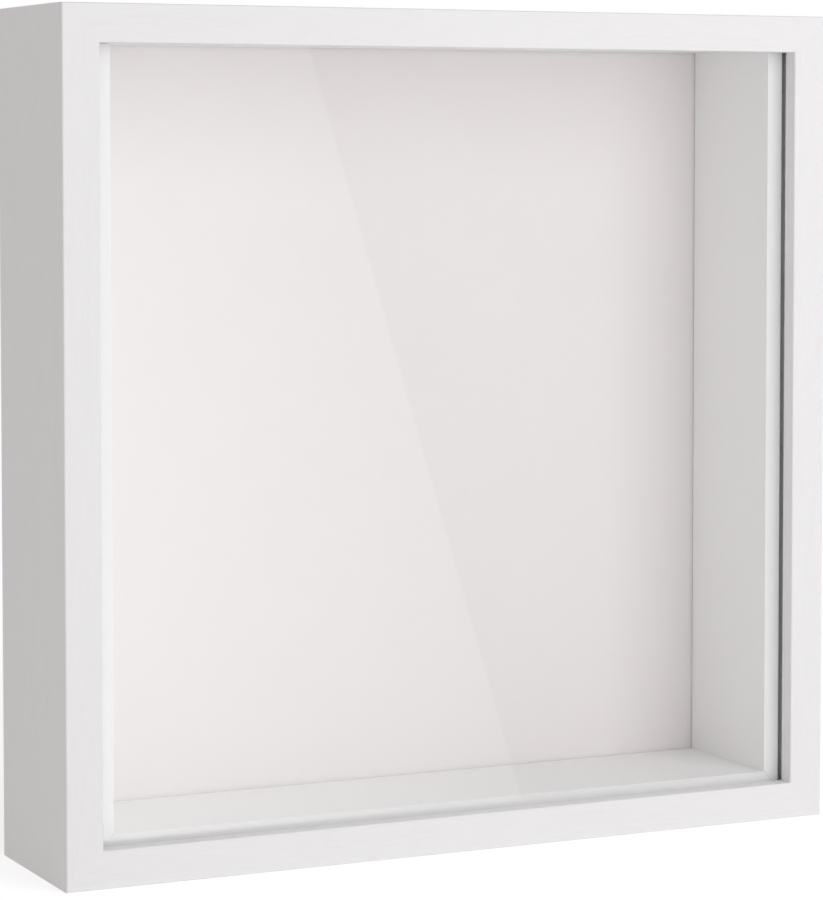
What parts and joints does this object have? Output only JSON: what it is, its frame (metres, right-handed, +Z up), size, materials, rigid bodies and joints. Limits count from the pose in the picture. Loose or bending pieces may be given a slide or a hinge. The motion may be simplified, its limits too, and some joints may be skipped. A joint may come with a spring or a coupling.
{
  "type": "shadow box",
  "caption": "Deep square white shadow box: mitred L-section frame, glass front, white inner box, and a rear board latched by steel turn buttons.",
  "frame": {"origin": "middle of the underside of the frame, where it rests when it stands", "axes": "+X right and +Z up as the glass front is looked at, +Y towards the back; the front faces -Y"},
  "size_m": [0.27, 0.0635, 0.27],
  "materials": {
    "white_film": "fibreboard moulding wrapped in satin white film with a faint pressed grain",
    "spacer_film": "thin fibreboard strip wrapped in matt white film",
    "glass": "clear 2 mm float glass with seamed edges",
    "liner_card": "smooth warm white lined card",
    "hardboard": "brown hardboard, smooth side out",
    "zinc_steel": "bright zinc plated steel",
    "bumper_rubber": "soft translucent self-adhesive rubber"
  },
  "bodies": {
    "frame": {"frame_rail_bottom": "white_film", "frame_rail_right": "white_film", "frame_rail_top": "white_film", "frame_rail_left": "white_film", "mitre_wedge_bottom_right": "zinc_steel", "mitre_wedge_top_right": "zinc_steel", "mitre_wedge_top_left": "zinc_steel", "mitre_wedge_bottom_left": "zinc_steel", "glass_pane": "glass", "spacer_bottom": "spacer_film", "spacer_right": "spacer_film", "spacer_top": "spacer_film", "spacer_left": "spacer_film", "button_screw_bottom_1": "zinc_steel", "button_screw_bottom_2": "zinc_steel", "button_screw_right_1": "zinc_steel", "button_screw_right_2": "zinc_steel", "button_screw_top_1": "zinc_steel", "button_screw_top_2": "zinc_steel", "button_screw_left_1": "zinc_steel", "button_screw_left_2": "zinc_steel", "sawtooth_hanger": "zinc_steel", "hanger_nail_1": "zinc_steel", "hanger_nail_2": "zinc_steel", "wall_bumper_bottom_1": "bumper_rubber", "wall_bumper_bottom_2": "bumper_rubber", "wall_bumper_top_1": "bumper_rubber", "wall_bumper_top_2": "bumper_rubber"},
    "back_panel": {"backing_liner": "liner_card", "back_board": "hardboard"},
    "turn_button_bottom_1": {"turn_button_bottom_1": "zinc_steel"},
    "turn_button_bottom_2": {"turn_button_bottom_2": "zinc_steel"},
    "turn_button_right_1": {"turn_button_right_1": "zinc_steel"},
    "turn_button_right_2": {"turn_button_right_2": "zinc_steel"},
    "turn_button_top_1": {"turn_button_top_1": "zinc_steel"},
    "turn_button_top_2": {"turn_button_top_2": "zinc_steel"},
    "turn_button_left_1": {"turn_button_left_1": "zinc_steel"},
    "turn_button_left_2": {"turn_button_left_2": "zinc_steel"}
  },
  "joints": [
    {"name": "back_panel_slide", "type": "slide", "parent": "frame", "child": "back_panel", "axis": [0, 1, 0], "range_m": [0, 0.1]},
    {"name": "turn_button_bottom_1_turn", "type": "hinge", "parent": "frame", "child": "turn_button_bottom_1", "pos_m": [-0.07, 0.0306, 0.00475], "axis": [0, 1, 0], "continuous": true},
    {"name": "turn_button_bottom_2_turn", "type": "hinge", "parent": "frame", "child": "turn_button_bottom_2", "pos_m": [0.07, 0.0306, 0.00475], "axis": [0, 1, 0], "continuous": true},
    {"name": "turn_button_right_1_turn", "type": "hinge", "parent": "frame", "child": "turn_button_right_1", "pos_m": [0.13025, 0.0306, 0.065], "axis": [0, 1, 0], "continuous": true},
    {"name": "turn_button_right_2_turn", "type": "hinge", "parent": "frame", "child": "turn_button_right_2", "pos_m": [0.13025, 0.0306, 0.205], "axis": [0, 1, 0], "continuous": true},
    {"name": "turn_button_top_1_turn", "type": "hinge", "parent": "frame", "child": "turn_button_top_1", "pos_m": [0.07, 0.0306, 0.26525], "axis": [0, 1, 0], "continuous": true},
    {"name": "turn_button_top_2_turn", "type": "hinge", "parent": "frame", "child": "turn_button_top_2", "pos_m": [-0.07, 0.0306, 0.26525], "axis": [0, 1, 0], "continuous": true},
    {"name": "turn_button_left_1_turn", "type": "hinge", "parent": "frame", "child": "turn_button_left_1", "pos_m": [-0.13025, 0.0306, 0.205], "axis": [0, 1, 0], "continuous": true},
    {"name": "turn_button_left_2_turn", "type": "hinge", "parent": "frame", "child": "turn_button_left_2", "pos_m": [-0.13025, 0.0306, 0.065], "axis": [0, 1, 0], "continuous": true}
  ]
}
